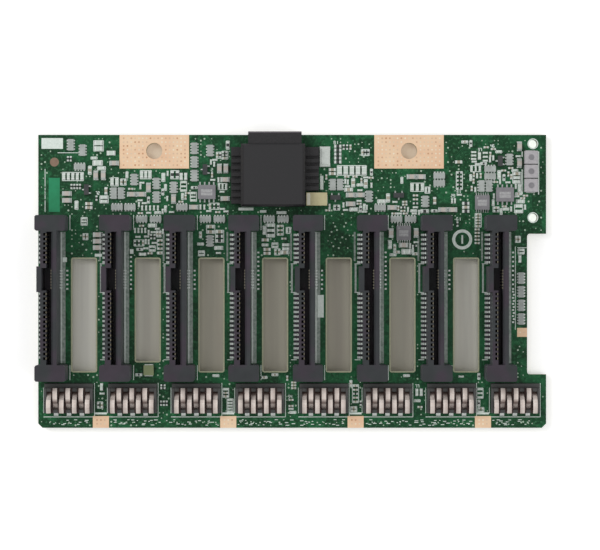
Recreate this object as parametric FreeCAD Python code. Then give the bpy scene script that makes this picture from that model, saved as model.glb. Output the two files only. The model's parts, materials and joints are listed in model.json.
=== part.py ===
import FreeCAD
import Part
import os

# Drive backplane board: a slotted circuit board that stands behind eight drive bays.
# It carries one blind-mate drive receptacle and one block of sprung carrier contacts for each bay,
# one cable receptacle at the head edge, bare copper ground pads, and its surface-mount parts.
# Millimetres.  +X along the row of bays, +Y towards the head edge, +Z out of the component face.
# The origin is the centre of the outline, cable mouth included, on the board's rear face.

Vec = FreeCAD.Vector

# ---- drive bays -------------------------------------------------------------------------------
bay_count = 8
bay_pitch = 17.78

# ---- circuit board ----------------------------------------------------------------------------
board_thickness = 1.6
left_margin = 3.9           # left edge to the first receptacle's axis
right_margin = 13.44        # last receptacle's axis to the right edge
foot_margin = 13.3          # foot edge to the receptacles
head_margin = 22.6          # receptacles to the head edge
foot_corner_cut = 1.2
notch_depth = 5.3           # relief in the right edge
notch_height = 39.3
notch_from_foot = 14.9
notch_radius = 0.8
vent_width = 7.0
vent_height = 31.8
vent_from_foot = 15.6
vent_radius = 0.5
short_vent = 1              # this vent, counted from nought, stops short of the sensor
short_vent_loss = 2.8

# ---- holes and bare copper --------------------------------------------------------------------
mount_hole_radius = 2.25
mount_hole_from_head = 4.5
mount_hole_from_left = 32.4
mount_hole_bays = 4         # the two mounting holes are this many bays apart
tooling_hole_radius = 1.2
tooling_hole_from_right = 3.7
tooling_hole_from_head = 2.5
tooling_hole_past_notch = 4.5   # relief's head end to the lower of the two guide-pin holes
copper_thickness = 0.07
head_pad_width = 19.4
head_pad_depth = 9.4
foot_pad_width = 4.5
foot_pad_depth = 3.3
side_pad_width = 2.8
side_pad_height = 2.5
side_pad_from_foot = 25.4

# ---- drive receptacle -------------------------------------------------------------------------
receptacle_length = 45.9
receptacle_height = 8.0
left_wall = 1.6             # the wall that holds the main row of contacts
right_wall = 1.5
slot_width = 1.4
slot_floor = 1.1            # thickness of the floor under the slot
slot_end_wall = 4.6         # receptacle's end to its slot
lead_in = 0.5               # chamfer along the slot's right wall
block_width = 8.4
block_offset = 0.3          # receptacle's axis to the end blocks' centre
head_block_length = 4.3
foot_block_length = 4.5
block_chamfer = 0.4
key_pocket_depth = 1.3
key_pocket_length = 6.2
key_pocket_from_foot = 25.1
key_wall = 1.35             # plastic left round the key pocket, where the wall bulges out
key_wall_ends = 0.45

# ---- board locks: stamped tabs that hold the housings down ---------------------------------------
lock_width = 1.5
lock_thickness = 0.4
lock_grip = 2.2             # height of a tab inside its housing
lock_clearance = 0.1        # all round a tab in its board slot
lock_short = 0.2            # a tab stops this far short of the rear face

# ---- drive receptacle contacts ------------------------------------------------------------------
contact_pitch = 1.27
contact_width = 0.6
contact_thickness = 0.2
contact_drop = 0.9          # contact's tip below the receptacle's top face
contact_clearance = 0.08    # each side of a contact in its cavity
cavity_depth = 0.85
power_count = 15
power_from_foot = 6.36
signal_count = 7
signal_from_foot = 32.94
second_port_pitch = 0.8
second_port_width = 0.4
second_port_from_foot = 25.8

# ---- carrier contact block ------------------------------------------------------------------------
base_width = 13.6
base_depth = 9.0
base_height = 2.2
base_offset = 4.7           # receptacle's axis to the block's axis
base_from_foot = 3.5
base_chamfer = 0.4
base_floor = 0.4
finger_count = 7
finger_pitch = 1.8
finger_width = 0.95
finger_thickness = 0.2
finger_rise = 3.5           # crown of a finger above the board
foot_tail = 0.6             # how far a finger's solder tail stands out at the block's foot side
head_tail = 0.3             # and at its head side, where the receptacle stands close
crown_share = 0.57          # where the crown stands, and where the tip ends, along a channel
tip_share = 0.94
channel_clearance = 0.15
channel_wall = 0.9

# ---- cable receptacle -----------------------------------------------------------------------------
cable_body_left = 9.4       # receptacle's axis to each side of its body
cable_body_right = 8.4
cable_body_depth = 17.3
cable_body_height = 6.0
cable_body_from_head = 2.8
cable_body_bevel = 0.5
cable_half = 12.2           # receptacle's axis to the outer edge of each side flange
cable_flange_height = 3.0
cable_flange_inset = 0.8
cable_flange_cut = 3.6      # the right flange also stops this far short at its foot end
cable_mouth_width = 14.8
cable_mouth_height = 5.2
mouth_overhang = 0.6
mouth_cavity_width = 12.2
mouth_cavity_height = 2.6
mouth_cavity_depth = 9.0
mouth_floor = 1.3
rib_pitch = 1.9
rib_width = 1.0
rib_depth = 0.9
cable_contact_count = 8
cable_contact_pitch = 1.4
cable_contact_width = 0.6
cable_contact_thickness = 0.25
cable_contact_inset = 1.0   # mouth's face to the contacts' tips

# ---- surface-mount parts: (length, width, height) ---------------------------------------------------
ceramic_capacitor = (2.0, 1.25, 0.9)
resistor_array = (3.2, 1.6, 0.6)
transistor = (2.9, 1.3, 1.0)
driver_chip = (4.9, 3.9, 1.5)
logic_chip = (4.0, 4.0, 0.9)
power_inductor = (3.6, 3.6, 2.6)
tantalum_capacitor = (5.8, 3.6, 2.3)
crystal = (5.2, 2.8, 1.2)
sensor_chip = (2.8, 2.8, 0.9)
pad_gap = 0.3
zone_margin = 0.9
layout_unit = 1.0           # the small parts' places in their zones are counted in this length
strip_count = 4             # resistor arrays down the strip beside the relief
lead_count = 4              # leads on each side of a driver chip
lead_pitch = 1.27
lead_width = 0.42
lead_reach = 0.9
lead_thickness = 0.2

# ---- derived places ----------------------------------------------------------------------------
board_width = left_margin + (bay_count - 1) * bay_pitch + right_margin
board_height = foot_margin + receptacle_length + head_margin
board_left = -board_width / 2
board_right = board_width / 2
board_foot = -(board_height + mouth_overhang) / 2
board_head = board_foot + board_height
face = board_thickness
receptacle_foot = board_foot + foot_margin
receptacle_head = receptacle_foot + receptacle_length
receptacle_top = face + receptacle_height
notch_left = board_right - notch_depth
mount_hole_y = board_head - mount_hole_from_head
mount_holes = [board_left + mount_hole_from_left + k * mount_hole_bays * bay_pitch for k in (0, 1)]
tooling_hole_x = board_right - tooling_hole_from_right
notch_foot = board_foot + notch_from_foot
notch_head = notch_foot + notch_height
tooling_holes = [board_head - tooling_hole_from_head, notch_head + tooling_hole_past_notch]
bay_axes = [board_left + left_margin + k * bay_pitch for k in range(bay_count)]
vent_axes = [x + bay_pitch / 2 for x in bay_axes[:-1]]
base_axes = [x + base_offset for x in bay_axes]
base_low = board_foot + base_from_foot
base_high = base_low + base_depth
body_left = -slot_width / 2 - left_wall      # from the receptacle's axis
body_right = slot_width / 2 + right_wall
block_left = block_offset - block_width / 2
block_right = block_offset + block_width / 2
cable_axis = vent_axes[bay_count // 2 - 1]
cable_head = board_head - cable_body_from_head
cable_foot = cable_head - cable_body_depth
mouth_face = board_head + mouth_overhang
lock_rows = [receptacle_foot + foot_block_length / 2, receptacle_head - head_block_length / 2]


# ---- small helpers -----------------------------------------------------------------------------
def block(x0, x1, y0, y1, z0, z1):
    """A box between two corners."""
    return Part.makeBox(x1 - x0, y1 - y0, z1 - z0, Vec(x0, y0, z0))


def rod(x, y, z0, z1, radius):
    """An upright cylinder."""
    return Part.makeCylinder(radius, z1 - z0, Vec(x, y, z0))


def outline(points):
    """A closed wire of straight edges through the points."""
    return Part.makePolygon([Vec(*p) for p in points] + [Vec(*points[0])])


def prism(points, along):
    """A flat outline pushed along a vector."""
    return Part.Face(outline(points)).extrude(Vec(*along))


def chamfered_slab(x0, x1, y0, y1, z0, z1, cut):
    """A box with its four upright edges cut off at 45 degrees."""
    return prism([(x0 + cut, y0, z0), (x1 - cut, y0, z0), (x1, y0 + cut, z0), (x1, y1 - cut, z0),
                  (x1 - cut, y1, z0), (x0 + cut, y1, z0), (x0, y1 - cut, z0), (x0, y0 + cut, z0)],
                 (0, 0, z1 - z0))


def rounded_slab(x0, x1, y0, y1, z0, z1, radius):
    """A box with its four upright edges rounded, no further than half its width."""
    slab = block(x0, x1, y0, y1, z0, z1)
    upright = [e for e in slab.Edges if abs(e.Vertexes[0].Z - e.Vertexes[1].Z) > (z1 - z0) / 2]
    return slab.makeFillet(min(radius, 0.49 * (x1 - x0), 0.49 * (y1 - y0)), upright)


def spread(first, pitch, count):
    """Evenly spaced places."""
    return [first + k * pitch for k in range(count)]


def save(node, solids):
    """Writes one sub-part, as a solid or as a group of separate solids."""
    shape = solids[0] if len(solids) == 1 else Part.makeCompound(solids)
    shape.exportStep("parts/" + node + ".step")


# ---- board locks ---------------------------------------------------------------------------------
def drive_lock_places(x):
    """One tab in the middle of each end block of the receptacle on axis x."""
    return [(x + block_offset, y) for y in lock_rows]


def cable_lock_places():
    """One tab in each side flange of the cable receptacle."""
    y = (cable_foot + cable_head) / 2
    return [(cable_axis - (cable_half + cable_body_left) / 2, y),
            (cable_axis + (cable_half + cable_body_right) / 2, y)]


def lock_tab(x, y, grip):
    """A flat tab that reaches up into its housing and down through the board."""
    return block(x - lock_width / 2, x + lock_width / 2, y - lock_thickness / 2,
                 y + lock_thickness / 2, lock_short, face + grip)


def lock_slot(x, y):
    """The plated slot in the board that a tab passes through."""
    half_width = lock_width / 2 + lock_clearance
    half_depth = lock_thickness / 2 + lock_clearance
    return chamfered_slab(x - half_width, x + half_width, y - half_depth, y + half_depth,
                          0, face, half_depth / 2)


def board_locks():
    tabs = [lock_tab(px, py, lock_grip) for x in bay_axes for px, py in drive_lock_places(x)]
    tabs += [lock_tab(px, py, mouth_floor) for px, py in cable_lock_places()]
    return tabs


# ---- circuit board -------------------------------------------------------------------------------
def vent_span(index):
    """The lower and upper ends of one vent."""
    low = board_foot + vent_from_foot
    high = low + vent_height
    return (low + short_vent_loss, high) if index == short_vent else (low, high)


def circuit_board():
    cut = foot_corner_cut
    board = prism([(board_left + cut, board_foot, 0), (board_right - cut, board_foot, 0),
                   (board_right, board_foot + cut, 0), (board_right, board_head, 0),
                   (board_left, board_head, 0), (board_left, board_foot + cut, 0)],
                  (0, 0, board_thickness))
    cuts = [rounded_slab(notch_left, board_right + notch_depth, notch_foot, notch_head, 0, face,
                         notch_radius)]
    for index, x in enumerate(vent_axes):
        low, high = vent_span(index)
        cuts.append(rounded_slab(x - vent_width / 2, x + vent_width / 2, low, high, 0, face,
                                 vent_radius))
    cuts += [rod(x, mount_hole_y, 0, face, mount_hole_radius) for x in mount_holes]
    cuts += [rod(tooling_hole_x, y, 0, face, tooling_hole_radius) for y in tooling_holes]
    cuts += [lock_slot(px, py) for x in bay_axes for px, py in drive_lock_places(x)]
    cuts += [lock_slot(px, py) for px, py in cable_lock_places()]
    return [board.cut(Part.makeCompound(cuts))]


def ground_pads():
    """Bare copper foil: round the mounting holes, at the foot edge and beside the relief."""
    top = face + copper_thickness
    pads = []
    for x in mount_holes:
        pad = block(x - head_pad_width / 2, x + head_pad_width / 2,
                    board_head - head_pad_depth, board_head, face, top)
        pads.append(pad.cut(rod(x, mount_hole_y, face, top, mount_hole_radius)))
    for left, right in zip(base_axes[0::2], base_axes[1::2]):
        x = (left + right) / 2
        pads.append(block(x - foot_pad_width / 2, x + foot_pad_width / 2,
                          board_foot, board_foot + foot_pad_depth, face, top))
    side_low = board_foot + side_pad_from_foot
    pads.append(block(notch_left - side_pad_width, notch_left, side_low,
                      side_low + side_pad_height, face, top))
    return pads


# ---- drive receptacle ----------------------------------------------------------------------------
def power_rows():
    return spread(receptacle_foot + power_from_foot, contact_pitch, power_count)


def signal_rows():
    return spread(receptacle_foot + signal_from_foot, contact_pitch, signal_count)


def second_port_rows():
    return spread(receptacle_foot + second_port_from_foot, second_port_pitch, signal_count)


def drive_receptacle(x):
    """One moulded housing: a slotted body on two end blocks, with a cavity for every contact.
    Its left wall bulges out round the key pocket."""
    slot_left = x - slot_width / 2
    slot_right = x + slot_width / 2
    slot_low = receptacle_foot + slot_end_wall
    slot_high = receptacle_head - slot_end_wall
    floor = face + slot_floor
    foot_block = chamfered_slab(x + block_left, x + block_right, receptacle_foot,
                                receptacle_foot + foot_block_length, face, receptacle_top,
                                block_chamfer)
    head_block = chamfered_slab(x + block_left, x + block_right,
                                receptacle_head - head_block_length, receptacle_head, face,
                                receptacle_top, block_chamfer)
    body = block(x + body_left, x + body_right, receptacle_foot + foot_block_length / 2,
                 receptacle_head - head_block_length / 2, face, receptacle_top)
    key_low = receptacle_foot + key_pocket_from_foot
    key_high = key_low + key_pocket_length
    key_left = slot_left - key_pocket_depth
    bulge = block(key_left - key_wall, x + body_left, key_low - key_wall_ends,
                  key_high + key_wall_ends, face, receptacle_top)
    housing = body.fuse([foot_block, head_block, bulge])
    slot = prism([(slot_left, slot_low, floor), (slot_right, slot_low, floor),
                  (slot_right, slot_low, receptacle_top - lead_in),
                  (slot_right + lead_in, slot_low, receptacle_top),
                  (slot_left, slot_low, receptacle_top)], (0, slot_high - slot_low, 0))
    cuts = [slot, block(key_left, slot_left, key_low, key_high, floor, receptacle_top)]
    half_cavity = contact_width / 2 + contact_clearance
    for y in power_rows() + signal_rows():
        cuts.append(block(slot_left - cavity_depth, slot_left, y - half_cavity, y + half_cavity,
                          floor, receptacle_top))
    cuts += [lock_tab(px, py, lock_grip) for px, py in drive_lock_places(x)]
    return [housing.cut(Part.makeCompound(cuts)).removeSplitter()]


def contact_blade(x0, y, width):
    """One contact: a flat blade that stands up from the housing's floor."""
    return block(x0, x0 + contact_thickness, y - width / 2, y + width / 2,
                 face + slot_floor, receptacle_top - contact_drop)


def receptacle_contacts(x):
    """The main row stands in the mouths of its cavities, the second port's row against the wall."""
    main_row = x - slot_width / 2 - contact_thickness
    port_row = x + slot_width / 2 - contact_thickness
    contacts = [contact_blade(main_row, y, contact_width) for y in power_rows() + signal_rows()]
    contacts += [contact_blade(port_row, y, second_port_width) for y in second_port_rows()]
    return contacts


# ---- carrier contact block -----------------------------------------------------------------------
def finger_columns(x):
    """Where the sprung fingers stand, and which way each one points: +1 towards the head edge.
    The outer fingers and every second one between them point to the foot edge."""
    first = x - (finger_count - 1) * finger_pitch / 2
    return [(first + k * finger_pitch, -1 if k % 2 == 0 else 1) for k in range(finger_count)]


def contact_base(x):
    """The moulded block, with one channel for each finger, open at the end that its tail leaves."""
    top = face + base_height
    base = chamfered_slab(x - base_width / 2, x + base_width / 2, base_low, base_high, face, top,
                          base_chamfer)
    half = finger_width / 2 + channel_clearance
    channels = []
    for column, points in finger_columns(x):
        low = base_low if points > 0 else base_low + channel_wall
        high = base_high - channel_wall if points > 0 else base_high
        channels.append(block(column - half, column + half, low, high, face + base_floor, top))
    return [base.cut(Part.makeCompound(channels))]


def contact_finger(column, points):
    """One sprung finger: a tail down to the board, a ramp up to the crown, and a dipped tip."""
    start = base_low if points > 0 else base_high
    tail = foot_tail if points > 0 else head_tail
    span = base_depth - channel_wall
    root = face + base_floor
    crown = face + finger_rise
    dip = face + base_height - finger_thickness
    under = [(-tail, face), (0, root), (crown_share * span, crown - finger_thickness),
             (tip_share * span, dip)]
    over = [(run, height + finger_thickness) for run, height in reversed(under)]
    side = column - finger_width / 2
    profile = [(side, start + points * run, height) for run, height in under + over]
    return prism(profile, (finger_width, 0, 0))


def carrier_springs(x):
    return [contact_finger(column, points) for column, points in finger_columns(x)]


# ---- cable receptacle ----------------------------------------------------------------------------
def bevelled_body(x0, x1, y0, y1, z0, z1, bevel):
    """A box whose top edges are drawn in by a bevel."""
    lower = block(x0, x1, y0, y1, z0, z1 - bevel)
    low = outline([(x0, y0, z1 - bevel), (x1, y0, z1 - bevel),
                   (x1, y1, z1 - bevel), (x0, y1, z1 - bevel)])
    high = outline([(x0 + bevel, y0 + bevel, z1), (x1 - bevel, y0 + bevel, z1),
                    (x1 - bevel, y1 - bevel, z1), (x0 + bevel, y1 - bevel, z1)])
    return lower.fuse(Part.makeLoft([low, high], True, True))


def cable_receptacle():
    """The moulded right-angle housing, with ribbed side flanges and a mouth over the head edge."""
    body = bevelled_body(cable_axis - cable_body_left, cable_axis + cable_body_right,
                         cable_foot, cable_head, face, face + cable_body_height,
                         cable_body_bevel)
    mouth = block(cable_axis - cable_mouth_width / 2, cable_axis + cable_mouth_width / 2,
                  cable_head - cable_body_bevel, mouth_face, face, face + cable_mouth_height)
    flange_top = face + cable_flange_height
    flange_low = cable_foot + cable_flange_inset
    flange_high = cable_head - cable_flange_inset
    left_flange = block(cable_axis - cable_half, cable_axis, flange_low, flange_high,
                        face, flange_top)
    right_flange = block(cable_axis, cable_axis + cable_half, flange_low + cable_flange_cut,
                         flange_high, face, flange_top)
    housing = body.fuse([mouth, left_flange, right_flange])
    cavity_floor = face + mouth_floor
    cuts = [block(cable_axis - mouth_cavity_width / 2, cable_axis + mouth_cavity_width / 2,
                  mouth_face - mouth_cavity_depth, mouth_face,
                  cavity_floor, cavity_floor + mouth_cavity_height)]
    groove = rib_pitch - rib_width
    groove_count = int((flange_high - flange_low - rib_width) // rib_pitch)
    for y in spread(flange_low + rib_width, rib_pitch, groove_count):
        for inner, outer in ((-cable_body_left, -cable_half), (cable_body_right, cable_half)):
            ends = sorted((cable_axis + inner, cable_axis + outer))
            cuts.append(block(ends[0], ends[1], y, y + groove, flange_top - rib_depth,
                              flange_top))
    cuts += [lock_tab(px, py, mouth_floor) for px, py in cable_lock_places()]
    return [housing.cut(Part.makeCompound(cuts))]


def cable_contacts():
    """Two facing rows of contact blades on the mouth's floor and roof."""
    floor = face + mouth_floor
    roof = floor + mouth_cavity_height
    back = mouth_face - mouth_cavity_depth
    tip = mouth_face - cable_contact_inset
    first = cable_axis - (cable_contact_count - 1) * cable_contact_pitch / 2
    blades = []
    for x in spread(first, cable_contact_pitch, cable_contact_count):
        left = x - cable_contact_width / 2
        right = x + cable_contact_width / 2
        blades.append(block(left, right, back, tip, floor, floor + cable_contact_thickness))
        blades.append(block(left, right, back, tip, roof - cable_contact_thickness, roof))
    return blades


# ---- surface-mount parts -------------------------------------------------------------------------
class Layout:
    """Collects the small parts of each kind as they are laid out on the component face."""

    def __init__(self):
        self.solids = {}

    def place(self, kind, size, x, y, turned=False):
        """Sets one part down, centred on x and y, turned a quarter turn if asked."""
        length, width, height = size
        if turned:
            length, width = width, length
        solid = block(x - length / 2, x + length / 2, y - width / 2, y + width / 2,
                      face, face + height)
        self.solids.setdefault(kind, []).append(solid)

    def put(self, zone, parts):
        """Sets parts down in a zone, which is (left, right, foot, head).

        A part is (kind, size, turned, x, y): x layout units from the zone's left edge to its middle,
        and y from the zone's head edge down to it. One that wouldn't stand inside is left out."""
        left, right, foot, head = zone
        for kind, size, turned, units_x, units_y in parts:
            x = units_x * layout_unit
            y = units_y * layout_unit
            half_x, half_y = (size[1] / 2, size[0] / 2) if turned else (size[0] / 2, size[1] / 2)
            inside_x = left <= left + x - half_x and left + x + half_x <= right
            if inside_x and y - half_y >= 0 and head - y - half_y >= foot:
                self.place(kind, size, left + x, head - y, turned)

    def driver(self, x, y):
        """Sets down one driver chip with its leads."""
        self.place("driver_chips", driver_chip, x, y)
        self.solids.setdefault("driver_chip_leads", []).extend(chip_leads(x, y))


def chip_leads(x, y):
    """The leads down both long sides of one driver chip, each a foot on the board."""
    width = driver_chip[1]
    leads = []
    for lead_x in spread(x - (lead_count - 1) * lead_pitch / 2, lead_pitch, lead_count):
        left = lead_x - lead_width / 2
        right = lead_x + lead_width / 2
        low = y - width / 2
        high = y + width / 2
        leads.append(block(left, right, low - lead_reach, low, face, face + lead_thickness))
        leads.append(block(left, right, high, high + lead_reach, face, face + lead_thickness))
    return leads


def capacitor(turned, x, y):
    return ("ceramic_capacitors", ceramic_capacitor, turned, x, y)


def array(turned, x, y):
    return ("resistor_arrays", resistor_array, turned, x, y)


def transistor_at(turned, x, y):
    return ("transistors", transistor, turned, x, y)


def logic(x, y):
    return ("logic_chips", logic_chip, False, x, y)


def head_margin_parts(layout):
    """The parts between the receptacles and the head edge, from left to right."""
    low = receptacle_head + zone_margin
    high = board_head - zone_margin
    under_pad = board_head - head_pad_depth - zone_margin
    pads = [(x - head_pad_width / 2, x + head_pad_width / 2) for x in mount_holes]
    cable_left = cable_axis - cable_half
    cable_right = cable_axis + cable_half

    corner = (board_left + zone_margin, pads[0][0] - pad_gap, low, high)
    layout.put(corner, [array(True, 8.2, 1.9), array(True, 11.5, 3.4), array(False, 10.7, 8.0),
                        capacitor(False, 7.1, 15.5), capacitor(False, 7.1, 17.4),
                        capacitor(True, 15.2, 10.4), capacitor(True, 17.3, 10.4),
                        capacitor(False, 20.3, 7.0), transistor_at(True, 12.6, 14.4)])
    layout.put((pads[0][0] - 2.5, pads[0][1] + 2.7, low, under_pad),
               [array(True, 0.9, 6.0), array(True, 2.9, 6.0), array(False, 1.8, 9.9),
                array(False, 5.4, 9.9), array(True, 6.6, 2.2), capacitor(False, 5.9, 6.3),
                capacitor(False, 8.6, 6.3), capacitor(True, 10.6, 4.4), array(True, 12.8, 3.3),
                array(True, 12.8, 7.1), array(True, 17.6, 4.4), capacitor(True, 17.6, 7.6),
                array(False, 19.9, 9.9), capacitor(False, 23.2, 9.9)])
    layout.put((pads[0][1] + pad_gap, cable_left - pad_gap, low, high),
               [array(True, 1.2, 2.9), array(True, 1.2, 6.7), array(True, 1.2, 10.5),
                array(True, 5.6, 3.5), capacitor(True, 8.2, 8.5), capacitor(True, 10.0, 8.5),
                transistor_at(True, 4.2, 8.8), capacitor(False, 9.8, 11.6),
                capacitor(False, 9.8, 16.9)])
    layout.driver(pads[0][1] + 5.0 * layout_unit, high - 15.1 * layout_unit)

    crystal_x = cable_right + pad_gap + crystal[1] / 2
    layout.place("crystal", crystal, crystal_x, high - 5.2 * layout_unit, True)
    beside = cable_axis + cable_body_right + pad_gap
    layout.place("tantalum_capacitors", tantalum_capacitor, beside + tantalum_capacitor[0] / 2,
                 cable_foot + tantalum_capacitor[1] / 2 + pad_gap)
    layout.put((beside + tantalum_capacitor[0], pads[1][0], low, high),
               [array(True, 1.6, 13.0), array(True, 3.6, 13.0), capacitor(False, 6.6, 15.9),
                capacitor(False, 9.3, 15.9), transistor_at(False, 2.3, 16.6),
                array(True, 11.7, 16.3), capacitor(False, 6.6, 18.4)])
    layout.put((pads[1][0] - 1.0, pads[1][1] + 6.0, low, under_pad),
               [capacitor(False, 11.4, 1.4), capacitor(False, 14.0, 1.4), array(False, 19.1, 1.1),
                array(False, 19.1, 3.2), array(True, 15.2, 8.3), array(False, 2.6, 10.0),
                capacitor(False, 6.0, 10.0), transistor_at(False, 7.8, 6.6),
                capacitor(False, 20.2, 10.6), capacitor(False, 22.8, 10.6)])

    coil_length, coil_width = power_inductor[:2]
    coils_head = tooling_holes[0] - tooling_hole_radius - zone_margin
    for k in range(3):
        layout.place("power_inductors", power_inductor, tooling_hole_x - 0.7 * layout_unit,
                     coils_head - coil_width / 2 - k * (coil_width + pad_gap))
    regulators = (pads[1][1] + zone_margin, tooling_hole_x - coil_length / 2 - zone_margin)
    layout.driver(regulators[1] - 5.2 * layout_unit, low + 5.0 * layout_unit)
    layout.put(regulators + (low, high),
               [array(False, 12.0, 8.6), array(False, 12.0, 10.7), array(True, 17.4, 6.0),
                capacitor(True, 20.2, 2.3), capacitor(True, 20.2, 7.0), array(True, 9.6, 13.4),
                array(True, 11.7, 13.4), transistor_at(True, 14.8, 6.4), logic(9.8, 18.0)])


def vent_head_parts(layout):
    """The parts between the receptacles, over the head end of each vent."""
    half = (bay_pitch - block_width) / 2
    rows = {0: [capacitor(False, 8.2, 5.3), capacitor(False, 8.2, 7.1), capacitor(False, 8.2, 8.9)],
            1: [array(False, 2.7, 0.9), array(False, 6.6, 0.9)],
            2: [array(False, 2.7, 0.9), array(False, 6.6, 0.9), array(True, 4.0, 7.0)],
            3: [array(False, 2.7, 0.9), array(False, 6.6, 0.9)],
            5: [array(False, 2.7, 0.9), array(False, 6.6, 0.9), logic(4.7, 4.8),
                capacitor(True, 1.2, 4.8), capacitor(True, 8.2, 4.8), capacitor(False, 4.7, 8.2)]}
    for index, axis in enumerate(vent_axes):
        middle = axis + block_offset
        zone = (middle - half, middle + half, vent_span(index)[1] + zone_margin, receptacle_head)
        layout.put(zone, rows.get(index, []))


def edge_parts(layout):
    """The column of resistor arrays beside the relief, and the sensor under the short vent."""
    x = notch_left - zone_margin - resistor_array[1] / 2
    low = board_foot + side_pad_from_foot + side_pad_height + zone_margin + resistor_array[0] / 2
    for y in spread(low, resistor_array[0] + 2 * pad_gap, strip_count):
        layout.place("resistor_arrays", resistor_array, x, y, True)
    sensor_y = vent_span(short_vent)[0] - zone_margin - sensor_chip[1] / 2
    layout.place("temperature_sensor", sensor_chip, vent_axes[short_vent] + block_offset,
                 sensor_y)


def surface_parts():
    layout = Layout()
    head_margin_parts(layout)
    vent_head_parts(layout)
    edge_parts(layout)
    return layout.solids


# ---- the whole board -----------------------------------------------------------------------------
os.makedirs("parts", exist_ok=True)
save("circuit_board", circuit_board())
save("ground_pads", ground_pads())
save("board_locks", board_locks())
for number, axis in enumerate(bay_axes, 1):
    save(f"drive_receptacle_{number}", drive_receptacle(axis))
    save(f"receptacle_contacts_{number}", receptacle_contacts(axis))
for number, axis in enumerate(base_axes, 1):
    save(f"carrier_contact_base_{number}", contact_base(axis))
    save(f"carrier_springs_{number}", carrier_springs(axis))
save("cable_receptacle", cable_receptacle())
save("cable_contacts", cable_contacts())
for node, solids in surface_parts().items():
    save(node, solids)
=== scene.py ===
# Drive backplane board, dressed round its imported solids.
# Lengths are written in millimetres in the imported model's frame: +X along the row of bays, +Y to
# the head edge, +Z out of the component face. They become metres where a mesh is made.

import json

import bpy
import numpy as np
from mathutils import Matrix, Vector


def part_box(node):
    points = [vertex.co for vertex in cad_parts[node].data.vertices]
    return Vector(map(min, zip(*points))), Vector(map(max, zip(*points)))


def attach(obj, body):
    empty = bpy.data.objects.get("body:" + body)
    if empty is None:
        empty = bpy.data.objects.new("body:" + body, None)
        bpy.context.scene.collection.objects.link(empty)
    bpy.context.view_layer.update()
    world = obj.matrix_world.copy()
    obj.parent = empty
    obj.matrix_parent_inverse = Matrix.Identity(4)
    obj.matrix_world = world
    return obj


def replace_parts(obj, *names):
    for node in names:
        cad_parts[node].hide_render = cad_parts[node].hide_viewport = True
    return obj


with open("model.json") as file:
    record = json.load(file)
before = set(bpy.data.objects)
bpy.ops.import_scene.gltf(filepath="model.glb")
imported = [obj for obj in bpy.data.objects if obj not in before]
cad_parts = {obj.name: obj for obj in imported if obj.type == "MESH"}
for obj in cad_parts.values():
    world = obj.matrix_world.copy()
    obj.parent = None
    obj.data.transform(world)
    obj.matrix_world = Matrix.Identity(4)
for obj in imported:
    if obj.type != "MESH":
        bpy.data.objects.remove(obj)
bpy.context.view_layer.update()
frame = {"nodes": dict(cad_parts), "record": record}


# ---- The circuit board -----------------------------------------------------------------------
# Glass-fibre laminate under a green solder mask. The mask is darker over bare laminate and lighter
# over the copper pours beneath it. The routed edges and the walls of the vents show the glass.
MM = 0.001


class Value:
    """One shader socket. Its operators add Math nodes, so that shader maths reads as Python."""

    def __init__(self, finish, socket):
        self.finish = finish
        self.socket = socket

    def math(self, operation, *others):
        return self.finish.node("ShaderNodeMath", {"operation": operation}, self, *others)

    def __add__(self, other):
        return self.math("ADD", other)

    def __sub__(self, other):
        return self.math("SUBTRACT", other)

    def __mul__(self, other):
        return self.math("MULTIPLY", other)

    def __gt__(self, other):
        return self.math("GREATER_THAN", other)

    def __lt__(self, other):
        return self.math("LESS_THAN", other)

    def __or__(self, other):
        return self.math("MAXIMUM", other)

    def __abs__(self):
        return self.math("ABSOLUTE")

    def __rsub__(self, other):
        return self.finish.node("ShaderNodeMath", {"operation": "SUBTRACT"}, other, self)

    __radd__ = __add__
    __rmul__ = __mul__


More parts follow.
